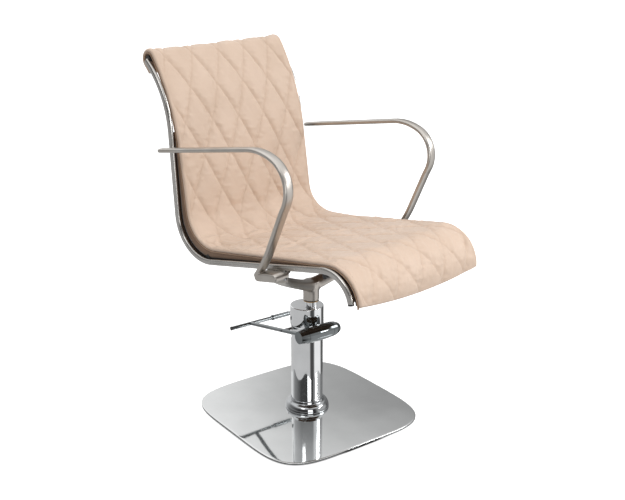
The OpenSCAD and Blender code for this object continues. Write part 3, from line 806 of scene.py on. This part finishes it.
def build_collar():
    """The bell at the foot of the column: a short neck over a skirt that widens to the plate."""
    profile = list(BELL_NECK)
    for bend in np.radians(np.linspace(84, 2, 18)):
        radius = BELL_MIDDLE[0] + BELL_BEND[0] * math.cos(bend)
        profile.append((radius, BELL_MIDDLE[1] + BELL_BEND[1] * math.sin(bend)))
    profile += BELL_FOOT
    rings = lathe_rings(profile, BELL_SIDES)
    index = np.arange(rings.shape[0] * rings.shape[1]).reshape(rings.shape[:2])
    below = np.roll(index, -1, axis=0)
    beside = np.roll(index, -1, axis=1)
    faces = np.stack([index, beside, np.roll(below, -1, axis=1), below], -1).reshape(-1, 4)
    collar = make_object("base_collar_bell", on_base(rings).reshape(-1, 3), faces[:, ::-1], CHROME_PAINTED_DIM)
    settle(collar, "base", "chrome", "base_collar")


# ---------------------------------------------------------------- yoke
YOKE_STATIONS = np.array([  # x, y, z of the middle of a limb, then half its width and half its height
    (0.000, 0.0000, 0.3850, 0.0210, 0.0175),
    (0.055, -0.0215, 0.4050, 0.0190, 0.0150),
    (0.115, -0.0470, 0.4310, 0.0215, 0.0140),
    (0.180, -0.0760, 0.4610, 0.0275, 0.0135),
    (0.2355, -0.1120, 0.4925, 0.0345, 0.0125),
])
YOKE_LEAN = math.radians(-10)  # of a limb's section at the arm
YOKE_POWER = 2.5  # of the limb's section, a little squarer than an ellipse
YOKE_STEPS = 40
YOKE_SIDES = 40
HUB_PROFILE = (  # radius, height
    (0.0002, 0.3431), (0.0212, 0.3431), (0.0220, 0.3440), (0.0220, 0.3660), (0.0230, 0.3750),
    (0.0255, 0.3850), (0.0240, 0.3960), (0.0200, 0.4010), (0.0002, 0.4020),
)


def build_yoke():
    """The cast yoke: a hub and two limbs that swell towards the arm feet, melted into one casting."""
    x = np.linspace(0, YOKE_STATIONS[-1, 0], YOKE_STEPS)
    degree = len(YOKE_STATIONS) - 1
    curves = [np.polyfit(YOKE_STATIONS[:, 0], column, degree) for column in YOKE_STATIONS.T[1:]]
    y, z, half_y, half_z = [np.polyval(curve, x) for curve in curves]
    lean = (YOKE_LEAN * (x / x[-1]) ** 2)[:, None]
    c, s = squared_circle(round_angles(YOKE_SIDES), YOKE_POWER)
    across = half_y[:, None] * c
    up = half_z[:, None] * s
    ring_y = y[:, None] + across * np.cos(lean) - up * np.sin(lean)
    ring_z = z[:, None] + across * np.sin(lean) + up * np.cos(lean)
    points = []
    faces = []
    for side in (-1, 1):
        limb = ring_faces(YOKE_STEPS, YOKE_SIDES, sum(len(p) for p in points))
        points.append(np.stack([side * x[:, None] + 0 * ring_y, ring_y, ring_z], -1).reshape(-1, 3))
        faces += limb if side > 0 else [face[::-1] for face in limb]
    faces += ring_faces(len(HUB_PROFILE), YOKE_SIDES, sum(len(p) for p in points))
    points.append(lathe_rings(HUB_PROFILE, YOKE_SIDES).reshape(-1, 3))
    yoke = make_object("yoke_cast", np.concatenate(points), faces, CAST_METAL)
    melt(yoke, voxel=0.0016, rounds=22)
    settle(yoke, "seat", "cast_aluminium", "yoke")


build_pad()
build_stitching()
build_edges()
build_panel()
build_plate()
build_collar()
build_yoke()

# ---------------------------------------------------------------- modifiers on CAD nodes
ARM_SWELL = 0.0016
BEVEL_WIDTH = 0.0006
BEVEL_ANGLE = math.radians(40)
BEVELLED = ("pump_cap", "rail_caps", "lever_bracket", "tread_plugs", "fluted_ring", "pump_flange")
for node in ARMS:
    melt(NODES[node], voxel=0.0014, rounds=16)
    swell = NODES[node].modifiers.new("swell", "DISPLACE")
    swell.mid_level = 0.0
    swell.strength = ARM_SWELL
for node in BEVELLED:
    bevel = NODES[node].modifiers.new("edge", "BEVEL")
    bevel.width = BEVEL_WIDTH
    bevel.segments = 2
    bevel.limit_method = "ANGLE"
    bevel.angle_limit = BEVEL_ANGLE

# ---------------------------------------------------------------- stage, light and camera
FLOOR_HALF = 40
FLOOR_HEIGHT = -0.0004
FLOOR_GLOW = 0.55
FLOOR_TONE = 2  # scale of its faint mottle
# painted reflections: the floor glows in these greys for every ray but the camera's, by direction round Z:
# 0 and 1 are -X, 0.25 is -Y, 0.5 is +X, 0.75 is +Y
FLOOR_SECTORS = (
    (0.0, 0.60), (0.17, 0.58), (0.19, 0.08), (0.25, 0.08), (0.28, 1.0), (0.42, 1.0), (0.45, 0.12),
    (0.60, 0.12), (0.66, 0.60), (1.0, 0.60),
)
WALL_SECTORS = (
    (0.0, 0.10), (0.24, 0.10), (0.29, 1.0), (0.40, 1.0), (0.46, 0.35), (0.56, 0.45), (0.605, 0.55),
    (0.622, 0.72), (0.645, 1.35), (0.74, 1.6), (0.84, 0.5), (1.0, 0.10),
)
CEILING = (1.9, 1.9, 1.9)
CEILING_SPAN = (0.45, 0.80)  # height of the direction where the walls turn into the ceiling
WORLD_STRENGTH = 0.75
CAMERA_PLACE = (-1.6965, -1.5982, 1.2277)
CAMERA_TURN = math.radians(-46.80)
CAMERA_RISE = math.radians(17.68)
CAMERA_LENS = 52.55  # millimetres
CAMERA_SENSOR = 36.0


def camera_choice(tree, others, camera):
    """One shader for camera rays and another for every other ray."""
    rays = tree.nodes.new("ShaderNodeLightPath")
    choose = tree.nodes.new("ShaderNodeMixShader")
    tree.links.new(rays.outputs["Is Camera Ray"], choose.inputs["Fac"])
    tree.links.new(others, choose.inputs[1])
    tree.links.new(camera, choose.inputs[2])
    return choose.outputs["Shader"]


def around_ramp(tree, vector, stops):
    """Greys by direction round Z."""
    around = tree.nodes.new("ShaderNodeTexGradient")
    around.gradient_type = "RADIAL"
    tree.links.new(vector, around.inputs["Vector"])
    node = tree.nodes.new("ShaderNodeValToRGB")
    tree.links.new(around.outputs["Fac"], node.inputs["Fac"])
    while len(node.color_ramp.elements) < len(stops):
        node.color_ramp.elements.new(0.5)
    for element, (position, grey) in zip(node.color_ramp.elements, stops):
        element.position = position
        element.color = (grey, grey, grey, 1)
    return node.outputs["Color"]


def build_stage():
    """Pale floor: almost white for the camera. Other rays see it glow in sectors of different greys, as
    painted reflections and glow.
    """
    material, tree, seen = new_material("floor_pale")
    square = ((-1, -1), (1, -1), (1, 1), (-1, 1))
    corners = [(x * FLOOR_HALF, y * FLOOR_HALF, FLOOR_HEIGHT) for x, y in square]
    floor = make_object("floor", corners, [(0, 1, 2, 3)], material, smooth=False)
    tone = texture(tree, "Noise", FLOOR_TONE)
    tree.links.new(ramp(tree, tone.outputs["Fac"], 0.89, 0.91, FULL_RANGE), seen.inputs["Base Color"])
    seen.inputs["Roughness"].default_value = 0.9
    seen.inputs["Emission Color"].default_value = (1, 1, 1, 1)
    seen.inputs["Emission Strength"].default_value = FLOOR_GLOW
    reflected = tree.nodes.new("ShaderNodeEmission")
    place = tree.nodes.new("ShaderNodeTexCoord").outputs["Object"]
    tree.links.new(around_ramp(tree, place, FLOOR_SECTORS), reflected.inputs["Color"])
    result = camera_choice(tree, reflected.outputs["Emission"], seen.outputs["BSDF"])
    tree.links.new(result, tree.nodes["Material Output"].inputs["Surface"])


def build_world():
    """White for the camera. Other rays see a bright ceiling, walls lit in parts and a dim side."""
    world = bpy.data.worlds.new("studio")
    bpy.context.scene.world = world
    world.use_nodes = True
    tree = world.node_tree
    room = tree.nodes["Background"]
    direction = tree.nodes.new("ShaderNodeTexCoord").outputs["Generated"]
    split = tree.nodes.new("ShaderNodeSeparateXYZ")
    tree.links.new(direction, split.inputs["Vector"])
    walls = around_ramp(tree, direction, WALL_SECTORS)
    height = ramp(tree, split.outputs["Z"], 0.0, 1.0, CEILING_SPAN)
    tree.links.new(colour_mix(tree, "MIX", height, walls, CEILING), room.inputs["Color"])
    room.inputs["Strength"].default_value = WORLD_STRENGTH
    white = tree.nodes.new("ShaderNodeBackground")
    white.inputs["Color"].default_value = (1, 1, 1, 1)
    result = camera_choice(tree, room.outputs["Background"], white.outputs["Background"])
    tree.links.new(result, tree.nodes["World Output"].inputs["Surface"])


def area_light(name, place, target, size, power):
    light = bpy.data.lights.new(name, "AREA")
    light.energy = power
    light.size = size
    obj = bpy.data.objects.new(name, light)
    bpy.context.scene.collection.objects.link(obj)
    obj.location = place
    obj.rotation_euler = (Vector(target) - Vector(place)).to_track_quat("-Z", "Y").to_euler()


def build_camera():
    data = bpy.data.cameras.new("camera")
    data.sensor_width = CAMERA_SENSOR
    data.lens = CAMERA_LENS
    camera = bpy.data.objects.new("camera", data)
    bpy.context.scene.collection.objects.link(camera)
    level = math.cos(CAMERA_RISE)
    back = Vector((math.sin(CAMERA_TURN) * level, -math.cos(CAMERA_TURN) * level, math.sin(CAMERA_RISE)))
    camera.location = CAMERA_PLACE
    camera.rotation_euler = (-back).to_track_quat("-Z", "Y").to_euler()
    bpy.context.scene.camera = camera


build_stage()
build_world()
area_light("box_light", place=(1.24, -2.6, 1.18), target=(0, 0, 0.3), size=0.35, power=8)
area_light("key_soft", place=(2.0, -1.9, 1.9), target=(0, 0, 0.6), size=1.0, power=23)
area_light("front_soft", place=(-1.6, -2.8, 0.8), target=(0, 0, 0.6), size=1.4, power=20)
area_light("left_soft", place=(-2.4, -0.8, 2.4), target=(0, 0, 0.6), size=1.0, power=9)
build_camera()
bpy.context.scene.view_settings.view_transform = "Standard"
